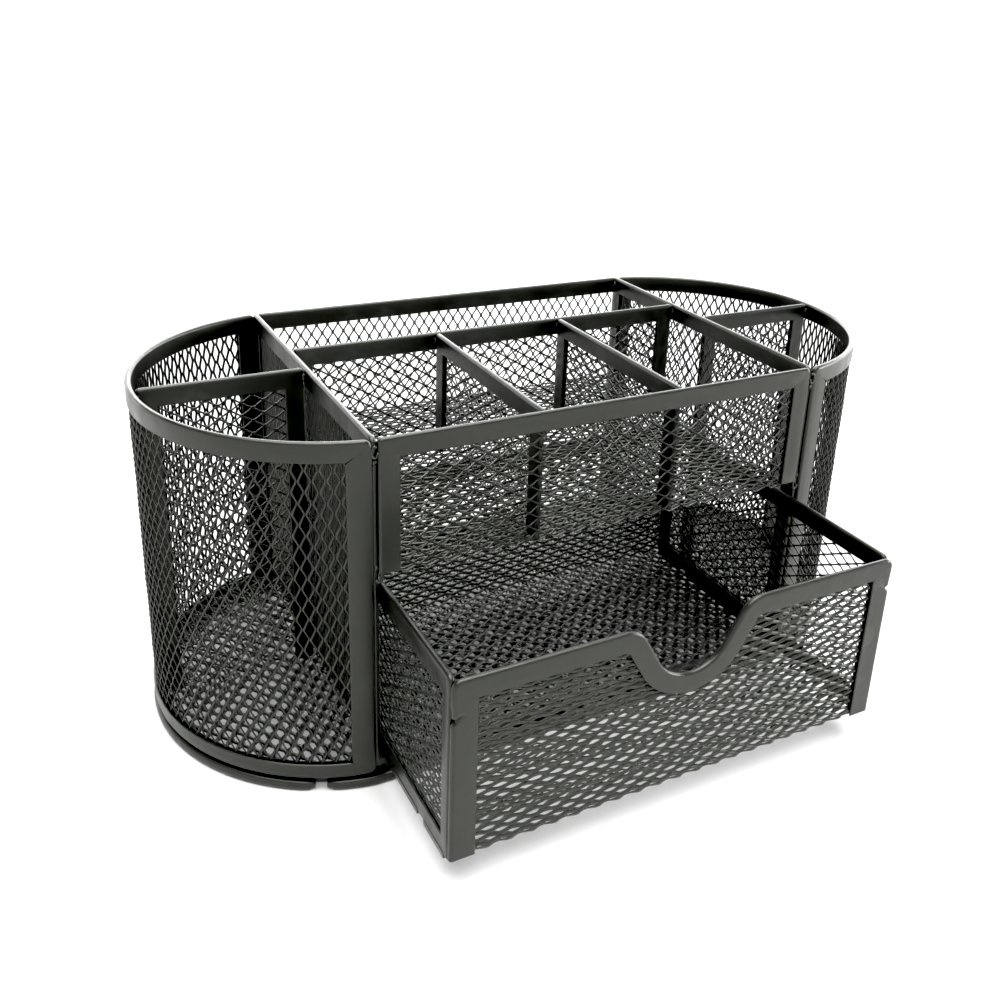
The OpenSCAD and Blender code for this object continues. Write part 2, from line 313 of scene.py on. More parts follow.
def lattice(shape, panel, rows, spans, cell, lean=1, width=STRAND_W, thick=STRAND_T, bond=BOND,
            tilt=STRAND_TILT, upright=False, phase=0.0, shift=0.0, hold=None):
    """Expanded metal: ribbons that run to and fro between rows of bonds.

    rows are the sheet's limits across the ribbons, and spans(row) gives the stretches of one row.
    lean is the side that the strands lean to. hold(along, up) is the distance from the nearest
    strip, under which the sheet is pressed flat."""
    long, short = cell
    step = short / 2
    t = lean * math.radians(tilt)
    across = np.array([math.cos(t), math.sin(t)])
    through = np.array([-math.sin(t), math.cos(t)])
    ring = STRAND[:, :1] * width * across + STRAND[:, 1:] * thick * through
    rise = step / 2 - width * math.cos(t) / 2 + BOND_LAP
    out = -width * math.sin(t) / 2
    points, quads, base = [], [], 0
    for k in range(math.ceil((rows[0] - shift) / step), math.floor((rows[1] - shift) / step) + 1):
        row = k * step + shift
        for s0, s1 in spans(row):
            if s1 - s0 < SHORTEST_ROW:
                continue
            s, side = zigzag(s0, s1, long, bond, 0.0 if k % 2 == 0 else long / 2)
            r = row + rise * side + STRAND_WANDER * np.sin(2.3 * s + 1.7 * k + phase)
            n = out * side
            s = np.repeat(s[:, None], STRAND_SIDES, 1)
            r = r[:, None] + ring[None, :, 0]
            n = n[:, None] + ring[None, :, 1]
            if hold is not None:
                away = hold(r, s) if upright else hold(s, r)
                n = n * np.clip(PRESSED + (1 - PRESSED) * (away + 0.6) / PRESS_REACH, PRESSED, 1.0)
                n = n + SHEET_WAVE * ripple(s, r, phase) * np.clip(away / WAVE_REACH, 0.0, 1.0)
            xyz = panel(r, s, n) if upright else panel(s, r, n)
            count = len(s)
            body, _ = skin(count, STRAND_SIDES)
            e = (count - 1) * STRAND_SIDES
            caps = [[0, 5, 4, 3], [0, 3, 2, 1], [e, e + 1, e + 2, e + 3], [e, e + 3, e + 4, e + 5]]
            quads.append(np.concatenate([body, caps]) + base)
            points.append(xyz.reshape(-1, 3))
            base += count * STRAND_SIDES
    shape.add(np.concatenate(points), np.concatenate(quads))


def inside_of(u0, u1, v0, v1):
    """The distance inside the opening from u0 to u1 and v0 to v1, for lattice's hold."""
    return lambda u, v: np.minimum(np.minimum(u - u0, u1 - u), np.minimum(v - v0, v1 - v))


def across_rect(s0, s1):
    """Rows that all run from s0 to s1, for lattice's spans."""
    return lambda row: [(s0, s1)]


# ---- folded strips ----

SLOT_HALF = 0.42
SLOT_DEPTH = 1.3
EDGE_BEVEL = 0.22
STRIP_WAVE = 0.05
SLIT_HALF = 0.3
GROOVE_RINGS = (1.25, 1.7, 2.15, 2.6)
CORNER_STEPS = 6
SMALLEST_TURN = 0.3
END_GAP = 0.3


def strip_profile(w, extra=()):
    """A folded strip's cross-section: (depth from the fold, distance from the middle)."""
    top = []
    for k in range(5):
        a = PI / 2 * k / 4
        top.append((HALF_T * (1 - math.cos(a)), HALF_T * math.sin(a)))
    top += [(d, HALF_T) for d in extra]
    top += [(w * 0.55, HALF_T), (w - EDGE_BEVEL, HALF_T), (w, HALF_T - EDGE_BEVEL),
            (w, SLOT_HALF + 0.06), (w - SLOT_DEPTH, SLOT_HALF)]
    bottom = [(d, -n) for d, n in reversed(top)]
    return np.array(top[1:] + bottom[:-1] + [(0.0, 0.0)])


def offset_pair(n1, n2, w1, w2):
    """The way from a corner to where its two inner edges, w1 and w2 in, meet."""
    c = float(np.dot(n1, n2))
    if c > 0.999:
        n = n1 + n2
        return n / np.linalg.norm(n) * (w1 + w2) / 2
    a = (w1 - c * w2) / (1 - c * c)
    b = (w2 - c * w1) / (1 - c * c)
    return a * n1 + b * n2


def strip(shape, panel, path, widths, closed=False, radius=0.0, phase=0.0, spacing=3.0,
          notch=None, groove=None, slits=None):
    """A folded strip along a path of (along, up) points, with the sheet on the path's left.

    widths has one width for each leg. radius rounds the outer corners, one value or one for each
    point. slits has the length of the slit at each rounded corner's inner end. notch moves the
    points along the strip's edge, and groove says how deep they lie under its face."""
    pts = [np.array(p, float) for p in path]
    count = len(pts)
    n_legs = count if closed else count - 1
    ways = [pts[(i + 1) % count] - pts[i] for i in range(n_legs)]
    lengths = [float(np.linalg.norm(w)) for w in ways]
    ways = [w / l for w, l in zip(ways, lengths)]
    sides = [np.array([-w[1], w[0]]) for w in ways]
    radii = list(radius) if isinstance(radius, (list, tuple)) else [radius] * count
    w_ref = max(widths)
    profile = strip_profile(w_ref, GROOVE_RINGS if groove else ())
    depth = profile[:, 0]
    f = (depth / w_ref)[:, None]

    def corner(i):
        """The rings at point i, and how far they reach back along both legs."""
        before, after = (i - 1) % n_legs, i % n_legs
        if not closed and i == 0:
            return [pts[i] + f * sides[0] * widths[0]], 0.0, 0.0
        if not closed and i == count - 1:
            return [pts[i] + f * sides[-1] * widths[-1]], 0.0, 0.0
        n1, n2 = sides[before], sides[after]
        inner = offset_pair(n1, n2, widths[before], widths[after])
        sharp = pts[i] + f * inner
        reach1 = max(0.0, -float(np.dot(inner, ways[before])))
        reach2 = max(0.0, float(np.dot(inner, ways[after])))
        turn = math.acos(float(np.clip(np.dot(n1, n2), -1, 1)))
        r = radii[i]
        if r <= 0 or turn < SMALLEST_TURN:
            return [sharp], reach1, reach2
        centre = pts[i] + offset_pair(n1, n2, r, r)
        at_r = pts[i] + inner * r / w_ref
        fade = np.clip(1 - (depth - r) / (w_ref - r), 0, 1)[:, None]
        deep = sharp + (centre - at_r) * fade
        rings = []
        for k in range(CORNER_STEPS + 1):
            t = k / CORNER_STEPS
            e = -(n1 * math.sin((1 - t) * turn) + n2 * math.sin(t * turn)) / math.sin(turn)
            rings.append(np.where((depth < r)[:, None], centre + (r - depth)[:, None] * e, deep))
        back = r * math.tan(turn / 2)
        if not slits or not slits[i]:
            return rings, max(reach1, back), max(reach2, back)
        # The slit opens from its own end to the inner corner, and the middle ring stops at its end.
        end = w_ref - slits[i]
        apart = np.clip((depth - end) / slits[i], 0, 1)[:, None] * SLIT_HALF
        held = np.minimum(depth, end)
        held_fade = np.clip(1 - (held - r) / (w_ref - r), 0, 1)[:, None]
        held_at = pts[i] + (held / w_ref)[:, None] * inner + (centre - at_r) * held_fade
        middle_ring = CORNER_STEPS // 2
        rings = ([ring - ways[before] * apart for ring in rings[:middle_ring]]
                 + [np.where((depth < r)[:, None], rings[middle_ring], held_at)]
                 + [ring + ways[after] * apart for ring in rings[middle_ring + 1:]])
        return rings, max(reach1, back) + 2 * SLIT_HALF, max(reach2, back) + 2 * SLIT_HALF

    rings = []
    for i in range(n_legs):
        at_corner, _, reach = corner(i)
        _, reach_end, _ = corner((i + 1) % count)
        rings += at_corner
        free = lengths[i] - reach - reach_end
        steps = max(1, int(round(free / spacing)))
        cross = f * sides[i] * widths[i]
        for k in range(0, steps + 1):
            x = reach + free * k / steps
            if END_GAP < x < lengths[i] - END_GAP and free > END_GAP:
                rings.append(pts[i] + ways[i] * x + cross)
    if not closed:
        rings += corner(count - 1)[0]
    rings = np.array(rings)
    u, v = rings[:, :, 0], rings[:, :, 1]
    if notch is not None:
        u = notch(u, v, depth[None, :])
    sway = STRIP_WAVE * ripple(u[:, :1], v[:, :1], phase)
    n = np.clip(profile[:, 1][None, :] + sway * np.clip(f[:, 0], 0.1, 1)[None, :], -HALF_T, HALF_T)
    if groove is not None:
        n = n - groove(u, v) * (n > 0.6 * HALF_T)
    quads, ends = skin(len(rings), len(profile), closed)
    shape.add(panel(u, v, n), quads, ends)


def cap_path(u0, u1, v0, v1):
    """An upright, a top and an upright, with the sheet inside and below."""
    return [(u1, v0), (u1, v1), (u0, v1), (u0, v0)]


# ---- beads, lips and welds ----

def rounded(path, radii, steps=5):
    """A closed path with its corners rounded, as a list of points."""
    out = []
    for i, r in enumerate(radii):
        p = np.array(path[i], float)
        a = np.array(path[i - 1], float) - p
        b = np.array(path[(i + 1) % len(path)], float) - p
        a, b = a / np.linalg.norm(a), b / np.linalg.norm(b)
        half_angle = math.acos(np.clip(np.dot(a, b), -1, 1)) / 2
        back = r / math.tan(half_angle)
        centre = p + (a + b) / np.linalg.norm(a + b) * r / math.sin(half_angle)
        p0, p1 = p + a * back - centre, p + b * back - centre
        sweep = PI - 2 * half_angle
        for k in range(steps + 1):
            t = k / steps
            q = (p0 * math.sin((1 - t) * sweep) + p1 * math.sin(t * sweep)) / math.sin(sweep)
            out.append(centre + q)
    return out


def tube(shape, path, ring, closed=True):
    """A ring of (out, up) points swept along a level path of (point, outward) pairs.

    The ends of an open tube are rounded off."""
    pts = np.array([p for p, n in path])
    outs = np.array([n for p, n in path])
    ring = np.array(ring)
    core = ring.mean(axis=0)
    size = np.ones(len(pts))
    if not closed:
        size[[0, 1, -2, -1]] = [0.55, 0.9, 0.9, 0.55]
    across = core[0] + size[:, None] * (ring[:, 0] - core[0])
    x = pts[:, 0][:, None] + outs[:, 0][:, None] * across
    y = pts[:, 1][:, None] + outs[:, 1][:, None] * across
    z = core[1] + size[:, None] * (ring[:, 1] - core[1])
    quads, ends = skin(len(pts), len(ring), closed)
    shape.add(np.stack([x, y, z], -1), quads, ends)


BLOB_RINGS = 7
BLOB_SIDES = 12


def blob(shape, centre, size, seed):
    """A bead of weld: an uneven flattened ball."""
    points = []
    for i in range(1, BLOB_RINGS):
        a = PI * i / BLOB_RINGS
        for j in range(BLOB_SIDES):
            b = 2 * PI * j / BLOB_SIDES
            d = np.array([math.sin(a) * math.cos(b), math.sin(a) * math.sin(b), math.cos(a)])
            bump = 1 + 0.12 * math.sin(5 * d[0] + seed) * math.sin(4 * d[1] + 2 * seed)
            bump += 0.06 * math.sin(9 * d[2] + seed)
            points.append(np.array(centre) + d * np.array(size) * bump)
    quads, ends = skin(BLOB_RINGS - 1, BLOB_SIDES)
    shape.add(np.array(points), quads, ends)


CURL_STEPS = 14
WIRE_SIDES = 8


def curl(shape, centre, reach, wire, start, turn):
    """A small curled end of sheet edge in an XZ plane: a rounded wire along part of an ellipse."""
    path = []
    for k in range(CURL_STEPS + 1):
        a = start + turn * k / CURL_STEPS
        path.append(np.array([centre[0] + reach[0] * math.cos(a), centre[1],
                              centre[2] + reach[1] * math.sin(a)]))
    first = path[0] + (path[0] - path[1]) / np.linalg.norm(path[0] - path[1]) * wire * 0.7
    last = path[-1] + (path[-1] - path[-2]) / np.linalg.norm(path[-1] - path[-2]) * wire * 0.7
    path = [first] + path + [last]
    rings = []
    for i, p in enumerate(path):
        way = path[min(i + 1, len(path) - 1)] - path[max(i - 1, 0)]
        way = way / np.linalg.norm(way)
        side = np.cross(way, [0.31, 0.94, 0.13])
        side /= np.linalg.norm(side)
        other = np.cross(way, side)
        size = wire * (0.45 if i in (0, len(path) - 1) else 1.0)
        angles = [2 * PI * j / WIRE_SIDES for j in range(WIRE_SIDES)]
        rings.append([p + size * (side * math.cos(b) + other * math.sin(b)) for b in angles])
    quads, ends = skin(len(rings), WIRE_SIDES)
    shape.add(np.array(rings), quads, ends)


# ---- materials ----

WEAR_COLOR = (0.05, 0.052, 0.048, 1.0)
WEAR = 0.35
SHINE_TINT = (0.98, 1.0, 0.89, 1.0)
COAT = 0.08
COAT_ROUGH = 0.27


def paint(name, low, high, rough, bump):
    """Dark powder paint on sheet steel."""
    mat = bpy.data.materials.new(name)
    mat.use_nodes = True
    tree = mat.node_tree
    nodes, links = tree.nodes, tree.links
    shader = nodes["Principled BSDF"]
    where = nodes.new("ShaderNodeTexCoord")

    def noise(size, detail, roughness=0.5):
        n = nodes.new("ShaderNodeTexNoise")
        n.inputs["Scale"].default_value = size
        n.inputs["Detail"].default_value = detail
        n.inputs["Roughness"].default_value = roughness
        links.new(where.outputs["Object"], n.inputs["Vector"])
        return n.outputs["Fac"]

    def span(value, a, b, lo=0.3, hi=0.7):
        n = nodes.new("ShaderNodeMapRange")
        n.inputs["From Min"].default_value = lo
        n.inputs["From Max"].default_value = hi
        n.inputs["To Min"].default_value = a
        n.inputs["To Max"].default_value = b
        links.new(value, n.inputs["Value"])
        return n.outputs["Result"]

    def mix(fac, a, b):
        n = nodes.new("ShaderNodeMix")
        n.data_type = "RGBA"
        for key, value in (("Factor", fac), ("A", a), ("B", b)):
            target = [s for s in n.inputs if s.name == key and (s.type == "RGBA" or key == "Factor")][0]
            if isinstance(value, tuple):
                target.default_value = value
            else:
                links.new(value, target)
        return [s for s in n.outputs if s.type == "RGBA"][0]

    def relief(height, strength, distance):
        n = nodes.new("ShaderNodeBump")
        n.inputs["Strength"].default_value = strength
        n.inputs["Distance"].default_value = distance
        links.new(height, n.inputs["Height"])
        return n

    cloudy = span(noise(55.0, 4.0), 0.0, 1.0)
    base = mix(cloudy, low + (1.0,), high + (1.0,))
    wear = nodes.new("ShaderNodeNewGeometry").outputs["Pointiness"]
    worn = span(wear, 0.0, WEAR, 0.52, 0.60)
    patchy = nodes.new("ShaderNodeMath")
    patchy.operation = "MULTIPLY"
    links.new(worn, patchy.inputs[0])
    links.new(span(noise(420.0, 3.0), 0.2, 1.0), patchy.inputs[1])
    base = mix(patchy.outputs[0], base, WEAR_COLOR)
    links.new(base, shader.inputs["Base Color"])
    links.new(span(noise(160.0, 4.0), rough[0], rough[1]), shader.inputs["Roughness"])
    shader.inputs["Metallic"].default_value = 0.0
    shader.inputs["Specular IOR Level"].default_value = 0.5
    shader.inputs["Specular Tint"].default_value = SHINE_TINT
    shader.inputs["Coat Weight"].default_value = COAT
    shader.inputs["Coat Roughness"].default_value = COAT_ROUGH
    grain = relief(noise(1400.0, 3.0, 0.6), bump, 0.00012)
    soft = relief(noise(120.0, 2.0), 0.35, 0.0006)
    links.new(grain.outputs["Normal"], soft.inputs["Normal"])
    links.new(soft.outputs["Normal"], shader.inputs["Normal"])
    return mat


STRIP_PAINT = paint("strip_paint", (0.0026, 0.0030, 0.0023), (0.0052, 0.0058, 0.0046), (0.28, 0.40), 0.22)
# The lattice gets the strips' paint made darker: painted shade for the mesh deep inside the organizer
SHADED_MESH_PAINT = paint("mesh_paint_shaded", (0.0018, 0.0019, 0.0016), (0.0040, 0.0041, 0.0037), (0.24, 0.34), 0.18)


# ---- pieces ----

SHARP = 32
SHARP_BEAD = 50
SHARP_WELD = 60
SIDES = ((True, "left"), (False, "right"))


def piece(shape, name, body, kind, *nodes, sharp=None):
    """Builds a shape as a piece on a body, in place of the CAD nodes it shows."""
    material = STRIP_PAINT if kind == "strip" else SHADED_MESH_PAINT
    obj = shape.build(name, material, sharp=sharp, clean=kind == "strip")
    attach(obj, body)
    if nodes:
        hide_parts(*nodes)


def sheet_piece(name, body, node, *layout, mirror=False, **looks):
    """One mesh sheet; the rest is said as lattice takes it."""
    shape = Shape(mirror)
    lattice(shape, *layout, **looks)
    piece(shape, name, body, "mesh", node)


def strip_piece(name, body, nodes, *layout, mirror=False, **looks):
    """One folded strip; the rest is said as strip takes it."""
    shape = Shape(mirror)
    strip(shape, *layout, **looks)
    piece(shape, name, body, "strip", *nodes, sharp=SHARP)


# ---- pen cups and the walls beside them ----

ARC = CUP_R * CUP_ANGLE
ARC_LAP = 0.3
SIDE_WALL_FRONT = 0.8

for mirror, label in SIDES:
    wall = cup_wall()
    sheet_piece(f"cup_wall_lattice_{label}", "case", f"cup_wall_mesh_{label}",
                wall, (-ARC + 1.5, ARC - 1.5), across_rect(BAND_Z + SHEET_LAP, TOP - SHEET_LAP), CELL_CUP,
                mirror=mirror, lean=-1, width=0.8, bond=0.55, upright=True, phase=0.4,
                hold=inside_of(-ARC + POST_W, ARC - POST_W, BAND_Z + BAND_W, TOP - STRIP_W))
    a0, a1 = -ARC - ARC_LAP, ARC + ARC_LAP
    strip_piece(f"cup_frame_{label}", "case",
                [f"cup_{part}_{label}" for part in ("top_rim", "bottom_band", "front_post", "back_post")],
                wall, [(a0, BAND_Z), (a1, BAND_Z), (a1, TOP), (a0, TOP)], [BAND_W, POST_W, STRIP_W, POST_W],
                mirror=mirror, closed=True, phase=1.0,
                radius=[2.4, 2.4, 2.2, 2.2], slits=[0.7, 0.7, 2.2, 2.2])

    divide = wall_x(0.0)
    sheet_piece(f"cup_divider_lattice_{label}", "case", f"cup_divider_mesh_{label}",
                divide, (FLOOR_Z + FOOT_LAP, TOP - SHEET_LAP),
                across_rect(HALF_W + SHEET_LAP, CUP_END - SHEET_LAP), CELL_PLAIN, mirror=mirror, phase=2.0,
                hold=inside_of(HALF_W + STRIP_W, CUP_END - STRIP_W, -NO_STRIP, TOP - STRIP_W))
    strip_piece(f"cup_divider_strip_{label}", "case", [f"cup_divider_frame_{label}"],
                divide, cap_path(HALF_W + SNUG, CUP_END - SNUG, FLOOR_Z, TOP), [STRIP_W] * 3,
                mirror=mirror, phase=2.5, radius=[0, 1.2, 1.2, 0])

    side_wall = wall_y(HALF_W - HALF_T)
    sheet_piece(f"side_wall_lattice_{label}", "case", f"side_wall_mesh_{label}",
                side_wall, (-HALF_D + 2.2, HALF_D - 2.2), across_rect(FLOOR_Z + FOOT_LAP, TOP - SHEET_LAP),
                CELL_WALL, mirror=mirror, upright=True, phase=3.0,
                hold=inside_of(-HALF_D + STRIP_W, HALF_D - STRIP_W, -NO_STRIP, TOP - STRIP_W))
    strip_piece(f"side_wall_strip_{label}", "case", [f"side_wall_frame_{label}"],
                side_wall, cap_path(-HALF_D + SIDE_WALL_FRONT, HALF_D - SNUG, FLOOR_Z, TOP), [STRIP_W] * 3,
                mirror=mirror, phase=3.5, radius=[0, 1.0, 2.4, 0])

    tray_div = wall_y(DIVIDER_X)
    end_y = MIDDLE_Y - HALF_T
    sheet_piece(f"tray_divider_lattice_{label}", "case", f"tray_divider_mesh_{label}",
                tray_div, (TRAY_Z + FOOT_LAP, TOP - SHEET_LAP),
                across_rect(-INNER_D + SHEET_LAP, end_y - SHEET_LAP), CELL_PLAIN, mirror=mirror, phase=4.0,
                hold=inside_of(-INNER_D + STRIP_W, end_y - STRIP_W, -NO_STRIP, TOP - STRIP_W))
    strip_piece(f"tray_divider_strip_{label}", "case", [f"tray_divider_frame_{label}"],
                tray_div, cap_path(-INNER_D + SNUG, end_y - SNUG, TRAY_Z, TOP), [STRIP_W] * 3,
                mirror=mirror, phase=4.5, radius=[0, 0.8, 0.8, 0])


# ---- walls of the middle part ----

back = wall_x(HALF_D - HALF_T, out=1)
sheet_piece("back_wall_lattice", "case", "back_wall_mesh",
            back, (-INNER_W, INNER_W), across_rect(BAND_Z + SHEET_LAP, TOP - SHEET_LAP), CELL_BACK,
            upright=True, phase=5.0,
            hold=inside_of(-INNER_W - NO_STRIP, INNER_W + NO_STRIP, BAND_Z + BAND_W, TOP - STRIP_W))
edge = Shape()
strip(edge, back, [(INNER_W, TOP), (-INNER_W, TOP)], [STRIP_W], phase=5.5)
strip(edge, back, [(-INNER_W, BAND_Z), (INNER_W, BAND_Z)], [BAND_W], phase=5.7)
piece(edge, "back_wall_strips", "case", "strip", "back_top_rim", "back_bottom_band", sharp=SHARP)

tray, tray_len = bent([(-HALF_D + HALF_T, TOP), (-HALF_D + HALF_T, TRAY_Z - MESH_T / 2),
                       (INNER_D, TRAY_Z - MESH_T / 2)], BEND_R)
tray_front_len = TOP - TRAY_Z
# A row of bonds lies on the sheet's bend.
tray_fold = (TOP - TRAY_Z + MESH_T / 2 - BEND_R + BEND_R * PI / 4) % (CELL_FRONT[1] / 2)


def tray_hold(u, v):
    """Only the tray sheet's upright part is held in strips."""
    inside = np.minimum(INNER_W - STRIP_W - np.abs(u), v - STRIP_W)
    return np.where(v < tray_front_len, inside, NO_STRIP)


sheet_piece("tray_sheet_lattice", "case", "tray_mesh",
            tray, (SHEET_LAP, tray_len[-1]), across_rect(-INNER_W + SHEET_LAP, INNER_W - SHEET_LAP),
            CELL_FRONT, lean=-1, phase=6.0, shift=tray_fold, hold=tray_hold)
# The tray front's uprights lap over the side walls' edges.
FRONT_LAP = 0.3
strip_piece("tray_front_strip", "case", ["tray_front_frame"], wall_x(-HALF_D + HALF_T),
            cap_path(-INNER_W - FRONT_LAP, INNER_W + FRONT_LAP, TRAY_Z + 0.8, TOP),
            [STRIP_W + FRONT_LAP, STRIP_W, STRIP_W + FRONT_LAP], phase=6.5, radius=[0, 1.5, 1.5, 0])

middle = wall_x(MIDDLE_Y)
sheet_piece("middle_wall_lattice", "case", "middle_wall_mesh",
            middle, (TRAY_Z + FOOT_LAP, TOP - SHEET_LAP),
            across_rect(-INNER_W + SHEET_LAP, INNER_W - SHEET_LAP), CELL_FRONT, phase=7.0,
            hold=inside_of(-INNER_W + STRIP_W, INNER_W - STRIP_W, -NO_STRIP, TOP - STRIP_W))
strip_piece("middle_wall_strip", "case", ["middle_wall_frame"],
            middle, cap_path(-INNER_W + SNUG, INNER_W - SNUG, TRAY_Z, TOP), [STRIP_W] * 3,
            phase=7.5, radius=[0, 1.0, 1.0, 0])


# ---- base ----

HEM_IN = STRIP_T + MESH_T + 0.5
HEM_SIDES = 14
HEM_POWER = 0.6
HEM_JOINT_X = 82.0
FAR_RINGS = 20


def plan_path(inset, spacing):
    """The case's outline, moved in by inset: (point, outward) pairs, counterclockwise."""
    out = []
    r = CUP_R - inset
    a = math.acos((HALF_W - CUP_X) / r)
    arc_steps = int(2 * a * r / spacing)
    line_steps = int(2 * HALF_W / spacing)
    for side in (1, -1):
        for k in range(arc_steps + 1):
            b = -a + 2 * a * k / arc_steps + (0 if side > 0 else PI)
            out.append(((side * CUP_X + r * math.cos(b), r * math.sin(b)), (math.cos(b), math.sin(b))))
        for k in range(1, line_steps):
            x = side * (HALF_W - 2 * HALF_W * k / line_steps)
            out.append(((x, side * (HALF_D - inset)), (0.0, float(side))))
    return out


def base_spans(x):
    """The base sheet's reach in depth at x."""
    reach = INNER_D - 0.4
    if abs(x) > HALF_W - 2:
        reach = min(reach, math.sqrt(max(0.0, (CUP_R - STRIP_T - 0.3) ** 2 - (abs(x) - CUP_X) ** 2)))
    return [(-reach, reach)]


mesh = Shape()
base_reach = CUP_X + CUP_R - 2.4
lattice(mesh, level(FLOOR_Z - MESH_T / 2 - 0.3), (-base_reach, base_reach), base_spans,
        CELL_BASE, upright=True, width=1.15, bond=2.3, phase=8.0)
# Its folded edge goes down to the hem.
tube(mesh, plan_path(STRIP_T + 0.4, 2.0),
     [(-0.3, 1.4), (0.3, 1.4), (0.38, FLOOR_Z - 0.9), (0.1, FLOOR_Z - 0.3), (-0.5, FLOOR_Z - 0.2),
      (-0.5, FLOOR_Z - 0.7), (-0.3, FLOOR_Z - 1.0)])
piece(mesh, "base_sheet_lattice", "case", "mesh", "base_mesh")

# The hem is two strips whose ends nearly meet, in front of the left cup and behind the right one.
edge = Shape()
bead = []
mid, half_bead = (HEM_IN - HEM_OUT) / 2, (HEM_IN + HEM_OUT) / 2
for k in range(HEM_SIDES):
    a = 2 * PI * k / HEM_SIDES
    c, s = math.cos(a), math.sin(a)
    bead.append((-mid + half_bead * math.copysign(abs(c) ** HEM_POWER, c),
                 HEM_H / 2 + HEM_H / 2 * math.copysign(abs(s) ** HEM_POWER, s)))
ring_path = plan_path(0.0, 1.6)
joint = [i for i, (p, n) in enumerate(ring_path)
         if abs(abs(p[0]) - HEM_JOINT_X) < 0.8 and p[0] * p[1] > 0]
starts = [joint[0], next(i for i in joint if i > joint[0] + FAR_RINGS)]
for s0, s1 in ((starts[0], starts[1]), (starts[1], starts[0] + len(ring_path))):
    part = [ring_path[i % len(ring_path)] for i in range(s0 + 1, s1)]
    tube(edge, part, bead, closed=False)
piece(edge, "base_hem_bead", "case", "strip", "base_hem", sharp=SHARP_BEAD)


# ---- drawer ----

def scoop_outline():
    """The drawer front's top edge with the finger scoop, from right to left."""
    path = []
    zs = DRAWER_TOP - SHOULDER_R
    zc = DRAWER_TOP - SCOOP_DEPTH + SCOOP_R
    turn = SCOOP_SLOPE
    for k in range(9):
        a = PI / 2 + turn * k / 8
        path.append((SCOOP_HALF + SHOULDER_R * math.cos(a), zs + SHOULDER_R * math.sin(a)))
    for k in range(21):
        a = -(PI / 2 - turn) - 2 * turn * k / 20
        path.append((SCOOP_R * math.cos(a), zc + SCOOP_R * math.sin(a)))
    for k in range(9):
        a = PI / 2 + turn * (8 - k) / 8
        path.append((-SCOOP_HALF - SHOULDER_R * math.cos(a), zs + SHOULDER_R * math.sin(a)))
    return path


def scoop_reach(z, inset):
    """Half the width of the scoop at height z, after its edge has moved in by inset."""
    zs = DRAWER_TOP - SHOULDER_R
    zc = DRAWER_TOP - SCOOP_DEPTH + SCOOP_R
    r_in, r_out = SHOULDER_R - inset, SCOOP_R + inset
    z_join = zc - r_out * math.sin(PI / 2 - SCOOP_SLOPE)
    z_shoulder = zs + r_in * math.cos(SCOOP_SLOPE)
    if z < zc - r_out:
        return 0.0
    if z < z_join:
        return math.sqrt(r_out ** 2 - (z - zc) ** 2)
    if z < z_shoulder:
        return r_out * math.cos(PI / 2 - SCOOP_SLOPE) + (z - z_join) / math.tan(SCOOP_SLOPE)
    return SCOOP_HALF - math.sqrt(max(0.0, r_in ** 2 - (z - zs) ** 2))


sheet_y = DRAWER_FRONT + HALF_T
sheet_back = DRAWER_BACK - HALF_T
sheet_z = DRAWER_Z + MESH_T / 2
tub, tub_len = bent([(sheet_y, DRAWER_TOP), (sheet_y, sheet_z), (sheet_back, sheet_z),
                     (sheet_back, DRAWER_TOP)], BEND_R)
front_reach = DRAWER_TOP - DRAWER_Z
tub_bends = (front_reach - BEND_R, tub_len[-1] - front_reach + BEND_R)
tub_fold = (front_reach - MESH_T / 2 - BEND_R + BEND_R * PI / 4) % (CELL_DRAWER[1] / 2)


def tub_spans(v):
    """The drawer sheet's rows: across its whole width, or on both sides of the scoop."""
    reach = DRAWER_W - 1.4
    gap = scoop_reach(DRAWER_TOP - v, 3.0) if v < front_reach else 0.0
    return [(-reach, reach)] if gap == 0.0 else [(-reach, -gap), (gap, reach)]


def tub_hold(u, v):
    """The drawer sheet is held in strips at its front's top and sides, and at its back's top."""
    front = np.minimum(DRAWER_W - FRONT_POST_W - np.abs(u), v - SCOOP_W)
    edges = np.minimum(DRAWER_W - STRIP_T - np.abs(u), tub_len[-1] - STRIP_W - v)
    bends = np.minimum(np.abs(v - tub_bends[0]), np.abs(v - tub_bends[1])) + 0.3
    return np.minimum(np.where(v < front_reach, front, edges), bends)


sheet_piece("drawer_tub_lattice", "drawer", "drawer_tub_mesh",
            tub, (1.8, tub_len[-1] - 1.4), tub_spans, CELL_DRAWER, lean=1, width=0.95, bond=1.0,
            tilt=22, phase=9.0, shift=tub_fold, hold=tub_hold)

# The wrapped top corners end in a small notch in the front's outer edge.
NOTCH_LEFT_DOWN = 10.6
NOTCH_RIGHT_DOWN = 9.1
NOTCH_IN = 1.2
GROOVE_DEEP = 0.42
GROOVE_LONG = 3.0


def notch_z(u):
    """The height of the notch on the side that u is on."""
    return DRAWER_TOP - np.where(u > 0, NOTCH_RIGHT_DOWN, NOTCH_LEFT_DOWN)


def notched(u, v, depth):
    """Pushes the front's outer edge in at the notch, and a little above it."""
    hollow = np.exp(-((v - notch_z(u)) / 0.75) ** 2)
    bulge = np.exp(-((v - (notch_z(u) + 2.2)) / 1.6) ** 2) * 0.25
    push = NOTCH_IN * (hollow + bulge) * np.clip(1 - depth / 2.4, 0, 1) * (np.abs(u) > DRAWER_W - 4)
    return u - np.sign(u) * push


def cap_groove(u, v):
    """The cut edge of the wrapped corner: a groove that rises inward from the notch."""
    along = DRAWER_W - np.abs(u)
    line = notch_z(u) - 0.5 + 0.75 * along
    reach = np.clip((GROOVE_LONG - along) / 0.8, 0, 1)
    return GROOVE_DEEP * reach * np.exp(-((v - line) / 0.38) ** 2)


